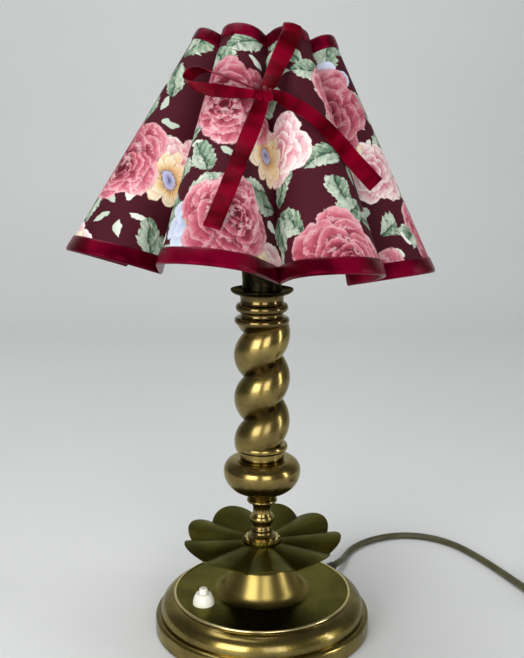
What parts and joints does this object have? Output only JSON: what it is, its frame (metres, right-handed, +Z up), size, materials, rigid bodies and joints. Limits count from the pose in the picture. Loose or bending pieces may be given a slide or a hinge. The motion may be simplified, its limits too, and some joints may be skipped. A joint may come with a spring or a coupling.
{
  "type": "table lamp",
  "caption": "Candlestick table lamp: round brass foot with a push switch and mains lead, petal dish, barley-twist column and a scalloped fabric shade clipped to its bulb, tied with a ribbon.",
  "frame": {"origin": "middle of the felt pad's underside, on the column's axis", "axes": "+Z up along the column, -Y towards the front with the ribbon's knot, +X to the viewer's right"},
  "size_m": [0.4415, 0.2874, 0.4258],
  "materials": {
    "brass": "aged, satin",
    "felt": "felt",
    "steel": "plain",
    "iron": "as cast",
    "switch_white": "gloss",
    "cord": "smooth",
    "rubber": "matte",
    "tie": "matte",
    "core": "smooth",
    "sleeve": "ivory, satin",
    "holder": "moulded",
    "bulb_metal": "bright",
    "glass": "clear",
    "wire": "satin",
    "shade_fabric": "printed cotton",
    "binding_satin": "satin",
    "ribbon_satin": "satin"
  },
  "bodies": {
    "lamp": {"felt_pad": "felt", "base_cover": "steel", "cover_screws": "steel", "base_weight": "iron", "base_foot": "brass", "dome_plate": "brass", "central_rod": "steel", "bottom_washer": "steel", "bottom_nut": "steel", "top_nut": "steel", "switch_body": "holder", "switch_cap_nut": "switch_white", "switch_spring": "steel", "switch_terminals": "brass", "cord_bush": "rubber", "cord_run": "cord", "cord_coil": "cord", "cord_tie": "tie", "plug_tail": "cord", "plug_body": "cord", "plug_pins": "brass", "neutral_core": "core", "live_core": "core", "switched_core": "core", "dish_spacer": "brass", "petal_dish": "brass", "crown_washer": "brass", "stem_turning": "brass", "knop": "brass", "knop_collar": "brass", "twist_column": "brass", "column_cap": "brass", "drip_pan": "brass", "candle_cup": "brass", "candle_sleeve": "sleeve", "holder_base": "steel", "lampholder_body": "holder", "thread_shell": "brass", "centre_contact": "brass"},
    "button": {"switch_button": "switch_white"},
    "bulb_seat": {"bulb_pip": "bulb_metal"},
    "bulb": {"bulb_cap": "bulb_metal", "bulb_glass": "glass", "bulb_stem": "glass", "bulb_filament": "steel"},
    "clip": {"bulb_clip": "wire"},
    "shade": {"pivot_screws": "brass", "shade_spider": "wire", "shade_lower_ring": "wire", "shade_ribs": "wire", "shade_shell": "shade_fabric", "top_binding": "binding_satin", "bottom_binding": "binding_satin", "ribbon_strap": "ribbon_satin", "ribbon_knot": "ribbon_satin", "ribbon_loop": "ribbon_satin", "ribbon_side_tail": "ribbon_satin", "ribbon_long_tail": "ribbon_satin"}
  },
  "joints": [
    {"name": "button_push", "type": "slide", "parent": "lamp", "child": "button", "axis": [0, 0, -1], "range_m": [0, 0.0025], "stiffness_N_per_m": 400, "deforming": ["switch_spring"]},
    {"name": "bulb_rise", "type": "slide", "parent": "lamp", "child": "bulb_seat", "axis": [0, 0, 1], "range_m": [0, 0.01128]},
    {"name": "bulb_turn", "type": "hinge", "parent": "bulb_seat", "child": "bulb", "pos_m": [0, 0, 0.3057], "axis": [0, 0, 1], "range_deg": [0, 1440]},
    {"name": "clip_lift", "type": "slide", "parent": "bulb", "child": "clip", "axis": [0, 0, 1], "range_m": [0, 0.07]},
    {"name": "shade_tilt", "type": "hinge", "parent": "clip", "child": "shade", "pos_m": [0, 0, 0.373], "axis": [-0.766, 0.6428, 0], "range_deg": [-10, 4]}
  ],
  "couplings": [
    {"joint": "bulb_rise", "follows": "bulb_turn", "m_per_rad": 0.00044882}
  ]
}
